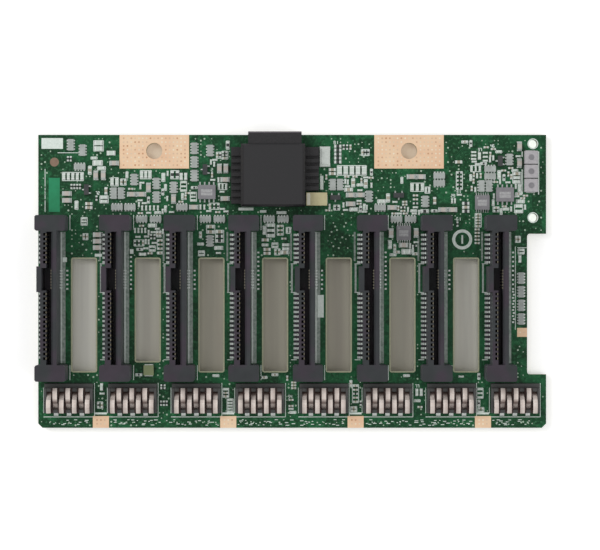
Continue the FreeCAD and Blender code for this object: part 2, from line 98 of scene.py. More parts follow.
class Finish:
    """A material made of nodes, ended by one Principled shader."""

    def __init__(self, name):
        self.material = bpy.data.materials.new(name)
        self.material.use_nodes = True
        self.tree = self.material.node_tree
        self.tree.nodes.clear()

    def node(self, kind, settings=None, *values, named=None, out=0):
        """Adds a node: its settings first, then its sockets in order, then sockets by name."""
        made = self.tree.nodes.new(kind)
        for key, value in (settings or {}).items():
            setattr(made, key, value)
        sockets = list(zip(made.inputs, values))
        sockets += [(made.inputs[key], value) for key, value in (named or {}).items()]
        for socket, value in sockets:
            if isinstance(value, Value):
                self.tree.links.new(value.socket, socket)
            elif value is not None:
                socket.default_value = value
        return Value(self, made.outputs[out]) if made.outputs else None

    def place(self):
        """Object coordinates in millimetres."""
        spot = self.node("ShaderNodeTexCoord", out="Object")
        return self.node("ShaderNodeVectorMath", {"operation": "SCALE"}, spot,
                         named={"Scale": 1 / MM})

    def part(self, vector, axis):
        """One coordinate of a vector."""
        return self.node("ShaderNodeSeparateXYZ", None, vector, out=axis)

    def facing(self):
        """How far the surface's normal points up: 1 on a top, 0 on a wall, -1 on an underside."""
        return self.part(self.node("ShaderNodeNewGeometry", out="Normal"), "Z")

    def noise(self, size, detail=2.0, place=None):
        """Soft noise from 0 to 1 whose lumps are about this size in millimetres."""
        return self.node("ShaderNodeTexNoise", None, place or self.place(),
                         named={"Scale": 1 / size, "Detail": detail}, out=0)

    def tone(self):
        """The number from 0 to 1 that each small part carries in its mesh."""
        return self.node("ShaderNodeAttribute", {"attribute_name": "tone"}, out="Fac")

    def step(self, value, low, high):
        """0 below low, 1 above high, and smooth between them."""
        return self.node("ShaderNodeMapRange", {"interpolation_type": "SMOOTHSTEP"}, value, low,
                         high)

    def mix(self, share, first, second):
        """A colour that is this share of the way from the first to the second."""
        return self.node("ShaderNodeMix", {"data_type": "RGBA"},
                         named={0: share, 6: first, 7: second}, out=2)

    def surface(self, colour, roughness, metallic=0.0, relief=None, height=0.01, specular=0.5,
                coat=0.0):
        """The Principled shader; relief is a bump whose full height is given in millimetres."""
        normal = None
        if relief is not None:
            normal = self.node("ShaderNodeBump", None,
                               named={"Strength": 1.0, "Distance": height * MM, "Height": relief})
        shader = self.node("ShaderNodeBsdfPrincipled", None, named={
            "Base Color": colour, "Roughness": roughness, "Metallic": metallic,
            "Specular IOR Level": specular, "Coat Weight": coat, "Normal": normal})
        self.node("ShaderNodeOutputMaterial", None, shader)
        return self


def paint(red, green, blue):
    """A colour as it looks, 0 to 255 a channel, turned into linear light by c to the power 2.2."""
    return ((red / 255) ** 2.2, (green / 255) ** 2.2, (blue / 255) ** 2.2, 1.0)


def dress(finish, *nodes):
    """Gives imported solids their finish."""
    for node in nodes:
        mesh = frame["nodes"][node].data
        mesh.materials.clear()
        mesh.materials.append(finish.material)


laminate = Finish("board_laminate")
spot = laminate.place()
pour = laminate.step(laminate.noise(9.0, 3.0, spot), 0.47, 0.53)
fleck = laminate.step(laminate.noise(0.8, 3.0, spot), 0.5, 0.68)
pit = laminate.step(laminate.noise(1.3, 3.0, spot), 0.5, 0.62)
weave = laminate.node("ShaderNodeTexWave", {"wave_type": "BANDS", "bands_direction": "X"}, spot,
                      named={"Scale": 0.55, "Distortion": 1.5, "Detail": 2.0})
mask_green = laminate.mix(pour, paint(18, 66, 37), paint(28, 92, 55))
mask_green = laminate.mix(pit * 0.55, mask_green, paint(14, 48, 29))
mask_green = laminate.mix(fleck * 0.5, mask_green, paint(66, 128, 86))
patch = laminate.step(laminate.noise(30.0, 1.0, spot), 0.4, 0.7)
mask_green = laminate.mix(patch * 0.4, mask_green, paint(14, 76, 46))
flat_face = abs(laminate.facing()) > 0.5
plies = laminate.node("ShaderNodeTexWave", {"wave_type": "BANDS", "bands_direction": "Z"}, spot,
                      named={"Scale": 1.6, "Distortion": 2.0, "Detail": 3.0})
edge_tan = laminate.mix(plies, paint(150, 150, 104), paint(184, 180, 138))
laminate.surface(laminate.mix(flat_face, edge_tan, mask_green), 0.42 + 0.16 * fleck,
                 relief=weave * 0.3 + pour, height=0.02, specular=0.3)
dress(laminate, "circuit_board")
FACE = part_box("circuit_board")[1].z / MM


# ---- Traces ----------------------------------------------------------------------------------
# Etched copper under the mask: bundles of fine tracks that leave the receptacles, turn at 45
# degrees and run along the board, standing a hair proud of the mask round them.
def lofts(rings, closed=False):
    """Skins through stacks of rings. rings[stack, level, corner] are points; each level is joined
    to the next, and the first and last rings are closed by fans, or joined where the stack is
    closed. Corners run anticlockwise as seen from the last ring."""
    count, levels, corners, _ = rings.shape
    index = np.arange(count * levels * corners).reshape(count, levels, corners)
    joined = levels if closed else levels - 1
    below, above = index[:, :joined], np.roll(index, -1, 1)[:, :joined]
    faces = [np.stack([below, np.roll(below, -1, 2), np.roll(above, -1, 2), above], -1)]
    if not closed:
        fan = np.arange(1, corners - 1)
        first = np.broadcast_to(index[:, :1, 0], (count, len(fan)))
        faces.append(np.stack([first, index[:, 0, fan + 1], index[:, 0, fan], index[:, 0, fan]],
                              -1))
        last = np.broadcast_to(index[:, -1:, 0], (count, len(fan)))
        faces.append(np.stack([last, index[:, -1, fan], index[:, -1, fan + 1],
                               index[:, -1, fan + 1]], -1))
    return rings.reshape(-1, 3), np.concatenate([f.reshape(-1, 4) for f in faces])


def together(*parts):
    """Joins meshes: their points one after another, and their faces renumbered to match."""
    shifts = np.cumsum([0] + [len(points) for points, _ in parts[:-1]])
    return (np.concatenate([points for points, _ in parts]),
            np.concatenate([faces + shift for (_, faces), shift in zip(parts, shifts)]))


def piece(name, shape, finish, tone=None, smooth=False):
    """Makes one mesh piece from points in millimetres and faces of four corners, a triangle having
    its last corner twice. It rides on the board and takes the given finish."""
    points, faces = shape
    mesh = bpy.data.meshes.new(name)
    mesh.from_pydata((points * MM).tolist(), [],
                     [row[:3] if row[2] == row[3] else row for row in faces.tolist()])
    if tone is not None:
        mesh.attributes.new("tone", "FLOAT", "POINT").data.foreach_set(
            "value", np.repeat(tone, len(points) // len(tone)).astype(np.float32))
    mesh.polygons.foreach_set("use_smooth", np.full(len(mesh.polygons), smooth))
    mesh.materials.append(finish.material)
    mesh.validate()
    made = bpy.data.objects.new(name, mesh)
    bpy.context.scene.collection.objects.link(made)
    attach(made, "root")
    return made


def mitres(paths):
    """The step to the left at each station of paths[path, station] = (x, y) that keeps an even
    width: the sum of the two runs' left normals over 1 + their dot product."""
    runs = np.diff(paths, axis=1)
    runs = runs / np.linalg.norm(runs, axis=2, keepdims=True)
    left = np.stack([-runs[..., 1], runs[..., 0]], -1)
    before = np.concatenate([left[:, :1], left], 1)
    after = np.concatenate([left, left[:, -1:]], 1)
    return (before + after) / (1 + (before * after).sum(-1, keepdims=True))


def bars(paths, width, low, high):
    """Flat bars along paths[bar, station] = (x, y), whose sides stand half a mitred width away."""
    out = mitres(paths) * width / 2
    corners = [(-1, low), (1, low), (1, high), (-1, high)]
    rings = np.stack([np.concatenate([paths + side * out,
                                      np.full(paths.shape[:2] + (1,), float(z))], -1)
                      for side, z in corners], 2)
    return lofts(rings)


TRACK_HEIGHT = 0.02


def tracks_along(path, count, pitch=0.42, width=0.15):
    """Parallel tracks along a path: copy k of n is moved sideways by k - (n - 1) / 2 mitred
    pitches, so that the path runs along the middle of the bundle."""
    path = np.array([path], float)
    shift = (np.arange(count) - (count - 1) / 2) * pitch
    return bars(path + shift[:, None, None] * mitres(path), width, FACE, FACE + TRACK_HEIGHT)


bay_boxes = [np.array([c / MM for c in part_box(f"drive_receptacle_{k}")]) for k in range(1, 9)]
BLOCK_OFFSET = 0.3
bays = np.array([box[:, 0].mean() - BLOCK_OFFSET for box in bay_boxes])
receptacle_foot, receptacle_head = bay_boxes[0][:, 1]
board_low, board_high = [np.array(c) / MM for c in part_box("circuit_board")]

track_green = Finish("covered_tracks")
track_green.surface(track_green.mix(track_green.noise(1.5, 3.0), paint(22, 72, 44),
                                    paint(42, 102, 66)), 0.4, specular=0.3)
tracks = []
for index, x in enumerate(bays):
    rise = receptacle_head + 1.0
    jog = 2.5 + 0.7 * (index % 3)
    tracks.append(tracks_along([(x + 5.6, rise - 9), (x + 5.6, rise - 3),
                                (x + 5.6 + jog, rise - 3 + jog), (x + 5.6 + jog, rise + 5)], 4))
    if index:
        tracks.append(tracks_along([(x - 4.9, -24), (x - 4.9, -10), (x - 4.9, 4), (x - 4.9, 16)],
                                   2, 0.36, 0.14))
for y, start, stop, count in ((23.0, -44, -20, 5), (25.8, 12, 34, 6), (22.2, 20, 52, 4),
                              (33.5, 10, 20, 4), (36.0, 46, 58, 5), (30.0, -60, -48, 4)):
    tracks.append(tracks_along([(start, y - 2), (start + 2, y), (stop - 2, y), (stop, y + 2)],
                               count))
tracks.append(tracks_along([(-66, -38.6), (-30, -38.6), (20, -38.6), (66, -38.6)], 2, 0.4))
piece("covered_tracks", together(*tracks), track_green)


# ---- Vent rims -------------------------------------------------------------------------------
# The mask is pulled back round each routed vent, which leaves a band of bare laminate.
def rounded(x0, x1, y0, y1, radius, steps=4):
    """A rounded rectangle, anticlockwise: each corner is a quarter circle about its own centre."""
    turn = np.linspace(0, np.pi / 2, steps)
    centres = [(x1 - radius, y1 - radius), (x0 + radius, y1 - radius), (x0 + radius, y0 + radius),
               (x1 - radius, y0 + radius)]
    return np.concatenate([np.stack([cx + radius * np.cos(turn + k * np.pi / 2),
                                     cy + radius * np.sin(turn + k * np.pi / 2)], -1)
                           for k, (cx, cy) in enumerate(centres)])


def frames(inner, outer, low, high):
    """A flat frame between two outlines with as many points: a four-cornered ring at each point."""
    ring = np.stack([np.column_stack([line, np.full(len(line), float(z))])
                     for line, z in ((outer, low), (outer, high), (inner, high), (inner, low))], 1)
    return lofts(ring[None], closed=True)


openings = np.array([o["box_m"] for o in frame["record"]["physics"]["openings"]]) / MM
VENT_INSET = 0.25
VENT_RADIUS = 0.5
RIM = 0.15
LEDGE = 0.24
vents = [(box[0, 0] - VENT_INSET, box[1, 0] + VENT_INSET, box[0, 1] - VENT_INSET,
          box[1, 1] + VENT_INSET) for box in openings[:7]]
bare_laminate = Finish("bare_laminate")
spot = bare_laminate.place()
bare_laminate.surface(bare_laminate.mix(bare_laminate.noise(0.7, 3.0, spot), paint(164, 166, 136),
                                        paint(202, 202, 172)), 0.6,
                      relief=bare_laminate.noise(0.3, 2.0, spot), height=0.03)
rims = [frames(rounded(x0 + LEDGE, x1 - LEDGE, y0 + LEDGE, y1 - LEDGE, VENT_RADIUS - LEDGE),
               rounded(x0 - RIM, x1 + RIM, y0 - RIM, y1 + RIM, VENT_RADIUS + RIM),
               FACE - 0.3, FACE + 0.015) for x0, x1, y0, y1 in vents]
piece("vent_rims", together(*rims), bare_laminate)


# ---- Ground pads -----------------------------------------------------------------------------
# Bare copper foil with a thin preserved finish, stitched to the inner planes by a grid of small
# plated holes. The chassis is clamped to the two large pads.
def rounds(centres, radius, low, high, sides=10):
    """Upright round posts: each ring is radius times (cos, sin) about its centre."""
    turn = np.arange(sides) * 2 * np.pi / sides
    centres = np.asarray(centres, float)
    radius = np.broadcast_to(radius, len(centres))[:, None]
    flat = np.stack([centres[:, :1] + radius * np.cos(turn),
                     centres[:, 1:2] + radius * np.sin(turn)], -1)
    rings = np.stack([np.concatenate([flat, np.full(flat.shape[:2] + (1,), float(z))], -1)
                      for z in (low, high)], 1)
    return lofts(rings)


def solids_of(node):
    """The lowest and highest corners, in millimetres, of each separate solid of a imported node.
    Corners in the same place are one; each takes the lowest label among its triangles' corners
    until nothing changes, so that a label marks a solid."""
    mesh = frame["nodes"][node].data
    co = np.zeros(len(mesh.vertices) * 3)
    mesh.vertices.foreach_get("co", co)
    corners = np.zeros(len(mesh.loops), int)
    mesh.loops.foreach_get("vertex_index", corners)
    spots, same = np.unique(np.round(co.reshape(-1, 3) / MM, 3), axis=0, return_inverse=True)
    triangles = same.reshape(-1)[corners].reshape(-1, 3)
    label = np.arange(len(spots))
    while True:
        lowest = label[triangles].min(1)
        fresh = label.copy()
        np.minimum.at(fresh, triangles.ravel(), np.repeat(lowest, 3))
        if (fresh == label).all():
            break
        label = fresh
    groups = [spots[label == k] for k in np.unique(label)]
    return np.array([(g.min(0), g.max(0)) for g in groups])


pad_copper = Finish("bare_copper")
spot = pad_copper.place()
stain = pad_copper.noise(5.0, 3.0, spot)
pad_colour = pad_copper.mix(stain, paint(240, 190, 154), paint(253, 228, 192))
pad_copper.surface(pad_colour, 0.45 + 0.15 * stain, metallic=0.25,
                   relief=pad_copper.noise(0.4, 2.0, spot), height=0.01)
dress(pad_copper, "ground_pads")
pads = solids_of("ground_pads")
pads = pads[np.argsort(-np.prod(pads[:, 1, :2] - pads[:, 0, :2], axis=1))]
pad_top = pads[0, 1, 2]
SCREW_FROM_HEAD = 4.5
screw_holes = [((a[0] + b[0]) / 2, b[1] - SCREW_FROM_HEAD) for a, b in pads[:2]]
PAD_GRID = 1.07
HOLE_RADIUS = 2.25
stitches = []
for (x0, y0, _), (x1, y1, _) in pads:
    columns = int((x1 - x0 - 0.5) / PAD_GRID)
    rows = int((y1 - y0 - 0.5) / PAD_GRID)
    gx, gy = np.meshgrid((np.arange(columns) - (columns - 1) / 2) * PAD_GRID + (x0 + x1) / 2,
                         (np.arange(rows) - (rows - 1) / 2) * PAD_GRID + (y0 + y1) / 2)
    stitches.append(np.column_stack([gx.ravel(), gy.ravel()]))
stitches = np.concatenate(stitches)
away = np.min([np.hypot(*(stitches - hole).T) for hole in screw_holes], axis=0)
stitches = stitches[away > HOLE_RADIUS + 0.5]
stitch_copper = Finish("pad_stitches")
stitch_copper.surface(stitch_copper.mix(stitch_copper.tone(), paint(206, 146, 104),
                                        paint(255, 240, 214)), 0.4, metallic=0.2)
draw = np.random.default_rng(11)
piece("pad_stitches", rounds(stitches, 0.26, pad_top, pad_top + 0.02, 8), stitch_copper,
      tone=draw.random(len(stitches)) ** 0.6)


# ---- Drive receptacles -----------------------------------------------------------------------
# Glass-filled black nylon housings. The main row's contacts end in flat tails soldered to the
# board on the left, and black teeth of the housing stand between them.
housing = Finish("housing_plastic")
spot = housing.place()
grain = housing.noise(0.25, 3.0, spot)
shade = housing.noise(4.0, 2.0, spot)
tinge = housing.step(housing.noise(7.0, 2.0, spot), 0.42, 0.62)
moulded = housing.mix(shade, housing.mix(tinge, paint(38, 41, 44), paint(47, 40, 49)),
                      housing.mix(tinge, paint(56, 60, 62), paint(64, 55, 66)))
# painted light: the upright walls are painted lighter than the tops, as if lit from the side
upright = housing.facing() < 0.5
painted_side_light = housing.mix(housing.noise(5.0, 1.0, spot), paint(70, 71, 76), paint(84, 85, 90))
housing.surface(housing.mix(upright, moulded, painted_side_light), 0.42 + 0.2 * grain, relief=grain,
                height=0.02)
dress(housing, *[f"drive_receptacle_{k}" for k in range(1, 9)])

gold = Finish("contact_plating")
spot = gold.place()
gold.surface(gold.mix(gold.noise(1.0, 2.0, spot), paint(150, 142, 122), paint(186, 178, 158)),
             0.4, metallic=0.8)
dress(gold, *[f"receptacle_contacts_{k}" for k in range(1, 9)])

tin = Finish("lead_tin")
spot = tin.place()
tin.surface(tin.mix(tin.noise(0.6, 3.0, spot), paint(176, 182, 178), paint(216, 222, 218)),
            0.3 + 0.2 * tin.noise(0.3, 2.0, spot), metallic=0.8)


def tablets(low, high, cut=0.08):
    """Boxes whose top edges are cut back at 45 degrees: a ring at the foot, one at the shoulder,
    and one at the top drawn in by the cut."""
    low = np.asarray(low, float).reshape(-1, 1, 3)
    high = np.asarray(high, float).reshape(-1, 1, 3)
    way = np.array([(0, 0), (1, 0), (1, 1), (0, 1)], float)
    rings = []
    for inset, z in ((0, low[..., 2]), (0, high[..., 2] - cut), (cut, high[..., 2])):
        flat = low[..., :2] + inset + way * (high[..., :2] - low[..., :2] - 2 * inset)
        rings.append(np.concatenate([flat, np.broadcast_to(z[..., None], flat.shape[:2] + (1,))],
                                    -1))
    return lofts(np.stack(rings, 1))


def strips(path, width, thickness, samples=3):
    """A flat strip bent along a path in the (run, height) plane, rounded at its bends: between the
    middles of neighbouring runs the line is the parabola that touches both. Gives the strip's
    rings with run along x, its width along y, and height along z."""
    path = np.array(path, float)
    middles = (path[:-1] + path[1:]) / 2
    t = np.linspace(0, 1, samples + 1)[:, None, None]
    bends = (1 - t) ** 2 * middles[:-1] + 2 * t * (1 - t) * path[1:-1] + t ** 2 * middles[1:]
    line = np.concatenate([path[:1], bends[:-1].transpose(1, 0, 2).reshape(-1, 2), middles[-1:],
                           path[-1:]])
    slope = np.gradient(line, axis=0)
    slope = slope / np.linalg.norm(slope, axis=1, keepdims=True)
    up = np.column_stack([-slope[:, 1], slope[:, 0]]) * thickness
    width = np.broadcast_to(width, len(line)) if np.ndim(width) == 0 else np.interp(
        np.linspace(0, 1, len(line)), np.linspace(0, 1, len(width)), width)
    over = line + up
    half = width / 2
    return np.stack([np.column_stack([line[:, 0], half, line[:, 1]]),
                     np.column_stack([line[:, 0], -half, line[:, 1]]),
                     np.column_stack([over[:, 0], -half, over[:, 1]]),
                     np.column_stack([over[:, 0], half, over[:, 1]])], 1)[:, ::-1]


def placed(rings, places, turns):
    """Copies of one stack of rings: each is turned by its quarter turns and moved to its place."""
    turns = np.asarray(turns) * np.pi / 2
    cos, sin = np.cos(turns)[:, None, None], np.sin(turns)[:, None, None]
    places = np.asarray(places, float)
    x = rings[None, ..., 0] * cos - rings[None, ..., 1] * sin + places[:, 0, None, None]
    y = rings[None, ..., 0] * sin + rings[None, ..., 1] * cos + places[:, 1, None, None]
    z = np.broadcast_to(rings[None, ..., 2], x.shape)
    return np.stack([x, y, z], -1)


WALL_LEFT = 2.3
WALL_RIGHT = 2.2
TOOTH = (1.3, 0.44, 0.7)
TAIL = [(0, 0.75), (0.25, 0.75), (0.45, 0.1), (1.0, 0.05), (1.45, 0.05)]
tail_shape = strips(TAIL, 0.62, 0.14)
port_tail_shape = strips([(0, 0.5), (0.15, 0.5), (0.3, 0.08), (0.75, 0.05)], 0.36, 0.12, 2)
for k, x in enumerate(bays, 1):
    blades = solids_of(f"receptacle_contacts_{k}")
    main = blades[blades[:, 0, 0] < x]
    port = blades[blades[:, 0, 0] > x]
    rows = np.sort(main[:, :, 1].mean(1))
    port_rows = port[:, :, 1].mean(1)
    left = np.column_stack([np.full(len(rows), x - WALL_LEFT), rows])
    right = np.column_stack([np.full(len(port_rows), x + WALL_RIGHT), port_rows])
    tails = placed(tail_shape, left, np.full(len(left), 2))
    tails[..., 2] += FACE
    port_tails = placed(port_tail_shape, right, np.zeros(len(right)))
    port_tails[..., 2] += FACE
    piece(f"receptacle_tails_{k}", together(lofts(tails), lofts(port_tails)), tin)
    gaps = (rows[:-1] + rows[1:]) / 2
    gaps = gaps[np.diff(rows) < 2]
    low = np.column_stack([np.full(len(gaps), x - WALL_LEFT - TOOTH[0]), gaps - TOOTH[1] / 2,
                           np.full(len(gaps), FACE)])
    high = np.column_stack([np.full(len(gaps), x - WALL_LEFT + 0.02), gaps + TOOTH[1] / 2,
                            np.full(len(gaps), FACE + TOOTH[2])])
    piece(f"housing_teeth_{k}", tablets(low, high, 0.1), housing)

solder = Finish("solder")
spot = solder.place()
solder.surface(solder.mix(solder.noise(0.5, 3.0, spot), paint(206, 212, 208), paint(244, 248, 244)),
               0.35, metallic=0.4)


# ---- Board locks -----------------------------------------------------------------------------
# Stamped steel tabs, pressed into the housings' end blocks and the cable receptacle's flanges. They
# snap into slots in the board and hold the housings down while they are soldered.
lock_steel = Finish("lock_steel")
lock_steel.surface(paint(150, 150, 150), 0.4, metallic=1.0)
dress(lock_steel, "board_locks")


# ---- Carrier contact blocks ------------------------------------------------------------------
# Low moulded blocks in front of the receptacles. Each holds seven sprung copper-alloy fingers in
# open channels; every second finger is turned round, and their tails are soldered at both sides.
base_plastic = Finish("base_plastic")
spot = base_plastic.place()
grain = base_plastic.noise(0.2, 3.0, spot)
inner = base_plastic.tone()
frame_grey = base_plastic.mix(grain, paint(62, 62, 62), paint(84, 84, 82))
# painted shade: the thin walls between the fingers are painted dark brown, though they are the same
# plastic as the grey frame
divider_painted_shade = base_plastic.mix(grain, paint(40, 25, 22), paint(64, 40, 34))
base_plastic.surface(base_plastic.mix(inner, frame_grey, divider_painted_shade), 0.55, relief=grain,
                     height=0.02)

# The fingers' colour is painted light: the tone each point carries runs it from painted shade, dark
# brown, to a painted highlight, near white.
spring_copper = Finish("spring_copper")
wear = spring_copper.noise(0.5, 3.0)
painted_highlight_copper = spring_copper.mix(wear, paint(244, 220, 208), paint(255, 252, 246))
painted_shade_copper = spring_copper.mix(wear, paint(64, 36, 28), paint(92, 56, 44))
spring_copper.surface(spring_copper.mix(spring_copper.tone(), painted_shade_copper, painted_highlight_copper), 0.35 + 0.25 * wear,
                      metallic=0.35)
# Along a finger from its root to its tip: distance, height over the board, and painted light, 0 for
# painted shade and 1 for a painted highlight. The fingers that point to the foot edge catch the light
# at other distances, given after it.
FINGER = np.array([(0.0, 0.4, 0.1), (1.0, 0.7, 0.2), (1.1, 0.8, 0.9), (2.4, 1.7, 0.95),
                   (2.7, 1.95, 0.2), (3.25, 2.55, 0.15), (3.45, 2.8, 0.9), (4.8, 3.3, 1.0),
                   (5.9, 3.05, 0.9), (6.9, 2.6, 0.8)])
FOOTWARD_RUN = (0, 1.0, 1.9, 2.1, 4.4, 4.7, 6.9)
FOOTWARD_LIGHT = (0.05, 0.08, 0.25, 1.0, 1.0, 0.88, 0.85)
FINGER_FOOT = [(-0.85, 0.02), (-0.1, 0.04), (0.1, 0.4)]
FINGER_WIDTH = 1.24
FINGER_GAP = 0.03
BLOCK_FOOT, BLOCK_HEAD = 0.75, 1.3
BLOCK_RISE = 2.2
END_WALL, THIN_WALL = 1.0, 0.15
SILL = 0.62
draw = np.random.default_rng(5)
for k in range(1, 9):
    springs = solids_of(f"carrier_springs_{k}")
    springs = springs[np.argsort(springs[:, 0, 0])]
    middles = springs[:, :, 0].mean(1)
    (x0, y0, _), (x1, y1, _) = [np.array(c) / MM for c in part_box(f"carrier_contact_base_{k}")]
    block_low, block_high = y0 + BLOCK_FOOT, y1 - BLOCK_HEAD
    fingers, tones, feet = [], [], []
    for n, x in enumerate(middles):
        toward_head = n % 2 == 1
        place = [(x, block_low if toward_head else block_high)]
        turn = [1 if toward_head else 3]
        rings = strips(FINGER[:, :2], FINGER_WIDTH, 0.19, 1)
        run = rings[:, :, 0].mean(1)
        light = (np.interp(run, FINGER[:, 0], FINGER[:, 2]) if toward_head
                 else np.interp(run, FOOTWARD_RUN, FOOTWARD_LIGHT))
        # one long edge of each finger is painted darker than the other, leaving a painted highlight
        # along the other edge
        edge_highlight = draw.choice([-0.18, 0.18, 0.1])
        edge = np.array([-1, 1, 1, -1]) * edge_highlight
        tones.append(np.clip(light[:, None] * (1 - abs(edge) + edge), 0, 1).ravel())
        rings[..., 2] += FACE
        fingers.append(lofts(placed(rings, place, turn)))
        feet.append(lofts(placed(strips(FINGER_FOOT, FINGER_WIDTH, 0.16, 2) + (0, 0, FACE),
                                 place, turn)))
    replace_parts(piece(f"sprung_fingers_{k}", together(*fingers), spring_copper,
                      tone=np.concatenate(tones)), f"carrier_springs_{k}")
    piece(f"finger_feet_{k}", together(*feet), solder)
    gaps = (middles[:-1] + middles[1:]) / 2
    # the block's boxes: two corners, and 1 for a divider or 0 for the frame
    side = FINGER_WIDTH / 2 + FINGER_GAP
    half = (middles[1] - middles[0] - FINGER_WIDTH) / 2 - FINGER_GAP
    boxes = [(x0, block_low, 0, x1, y1 - 0.1, 0.35, 0),
             (x0, block_high - 0.1, 0, x1, y1 - 0.1, 1.0, 0),
             (x0, block_low, 0, middles[0] - side, block_high, BLOCK_RISE, 0),
             (middles[-1] + side, block_low, 0, x1, block_high, BLOCK_RISE, 0)]
    boxes += [(x - half, block_low, 0, x + half, block_high, BLOCK_RISE - 0.1, 1) for x in gaps]
    for n, x in enumerate(middles):
        near, far = (END_WALL, THIN_WALL) if n % 2 else (THIN_WALL, END_WALL)
        near_foot, far_foot = (SILL, 0) if n % 2 else (0, SILL)
        boxes += [(x - 0.9, block_low, near_foot, x + 0.9, block_low + near, BLOCK_RISE - 0.2, 0),
                  (x - 0.9, block_high - far, far_foot, x + 0.9, block_high, BLOCK_RISE - 0.2, 0)]
    boxes = np.array(boxes)
    rise = (0, 0, FACE)
    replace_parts(piece(f"carrier_block_{k}", tablets(boxes[:, :3] + rise, boxes[:, 3:6] + rise, 0.1),
                      base_plastic, tone=boxes[:, 6]), f"carrier_contact_base_{k}")


# ---- Cable receptacle ------------------------------------------------------------------------
# The one cable connector of the board: a black right-angle shell, moulded in one piece with lower
# pebbled flanges at its sides and a mouth that stands over the head edge.
cable_plastic = Finish("cable_housing_plastic")
spot = cable_plastic.place()
pebble = cable_plastic.noise(0.35, 3.0, spot)
cable_low, cable_high = [np.array(c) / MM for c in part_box("cable_receptacle")]
cable_axis = (cable_low[0] + cable_high[0]) / 2
# how far the smooth cap reaches from the axis to the left and right, and where the painted shade
# along its long edges begins, then the line where the head flange begins, and the width of the
# lighter band along the mouth
CAP_LEFT, CAP_RIGHT = 9.45, 8.45
SHADED_EDGE_LEFT, SHADED_EDGE_RIGHT = 8.5, 7.6
HEAD_FLANGE = 37.85
LIP = 0.35
from_axis = cable_plastic.part(spot, "X") - cable_axis
along = cable_plastic.part(spot, "Y")
lower = (0 - from_axis > CAP_LEFT) | (from_axis > CAP_RIGHT) | (along > HEAD_FLANGE)
painted_edge_shade = (0 - from_axis > SHADED_EDGE_LEFT) | (from_axis > SHADED_EDGE_RIGHT)
cap_black = cable_plastic.mix(pebble, paint(38, 38, 40), paint(45, 44, 46))
# painted shade: the cap is painted darker along its two long edges
cap_black = cable_plastic.mix(painted_edge_shade * 0.6, cap_black, paint(22, 19, 22))
flange_black = cable_plastic.mix(pebble, paint(14, 14, 15), paint(50, 48, 51))
lip = (along > cable_high[1] - LIP) * (cable_plastic.facing() > 0.5)
flange_black = cable_plastic.mix(lip, flange_black, paint(104, 98, 104))
cable_plastic.surface(cable_plastic.mix(lower, cap_black, flange_black), 0.5,
                      relief=pebble * (0.2 + lower), height=0.05)
dress(cable_plastic, "cable_receptacle")
dress(gold, "cable_contacts")


# ---- Surface-mount parts ---------------------------------------------------------------------
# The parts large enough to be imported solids. Chip parts have tinned end caps, moulded parts stand
# on bent leads, and each is soldered to pads that reach out past it. Chips carry plain print.
def reach(solids, along, across, rise, both=True):
    """Boxes at the two ends of each solid's longer side. along = (a, b) runs outwards from a to b,
    measured from the end face; across is how much wider than the solid; rise = (z0, z1) from the
    solid's foot, or from its top where z1 is None."""
    low, high = solids[:, 0].copy(), solids[:, 1].copy()
    turned = (high[:, 1] - low[:, 1]) > (high[:, 0] - low[:, 0])
    main = np.where(turned, 1, 0)
    rows = np.arange(len(solids))
    made = []
    for end in (0, 1) if both else (1,):
        a, b = low.copy(), high.copy()
        a[:, :2] -= across
        b[:, :2] += across
        if end:
            a[rows, main] = high[rows, main] + along[0]
            b[rows, main] = high[rows, main] + along[1]
        else:
            b[rows, main] = low[rows, main] - along[0]
            a[rows, main] = low[rows, main] - along[1]
        a[:, 2] = low[:, 2] + rise[0]
        b[:, 2] = high[:, 2] + 0.02 if rise[1] is None else low[:, 2] + rise[1]
        made.append((a, b))
    return np.concatenate([m[0] for m in made]), np.concatenate([m[1] for m in made])


def studs(solids, offsets, width, depth, rise):
    """Boxes down both long sides of each solid at the offsets along it. depth = (inside, outside)
    says how far each reaches in and out from the side; rise = (z0, z1) is from the solid's foot."""
    low, high = solids[:, 0], solids[:, 1]
    turned = (high[:, 1] - low[:, 1]) > (high[:, 0] - low[:, 0])
    middle = (low + high)[:, None, None, :2] / 2
    half = np.where(turned, high[:, 0] - low[:, 0], high[:, 1] - low[:, 1])[:, None, None] / 2
    side = np.array([-1.0, 1.0])[None, :, None]
    run = np.broadcast_to(offsets[None, None], (len(solids), 2, len(offsets)))
    ends = [side * (half - depth[0]), side * (half + depth[1])]
    flip = turned[:, None, None]
    corners = []
    for away, along, z in ((np.minimum(*ends), run - width / 2, rise[0]),
                           (np.maximum(*ends), run + width / 2, rise[1])):
        flat = middle + np.stack([np.where(flip, away, along), np.where(flip, along, away)], -1)
        foot = np.broadcast_to(low[:, None, None, 2:], flat.shape[:3] + (1,))
        corners.append(np.concatenate([flat, foot + z], -1).reshape(-1, 3))
    return corners


def chip_colours(finish, first, second, third):
    """Three body colours, picked by the part's own tone."""
    tone = finish.tone()
    return finish.mix(tone > 0.8, finish.mix(tone > 0.5, first, second), third)


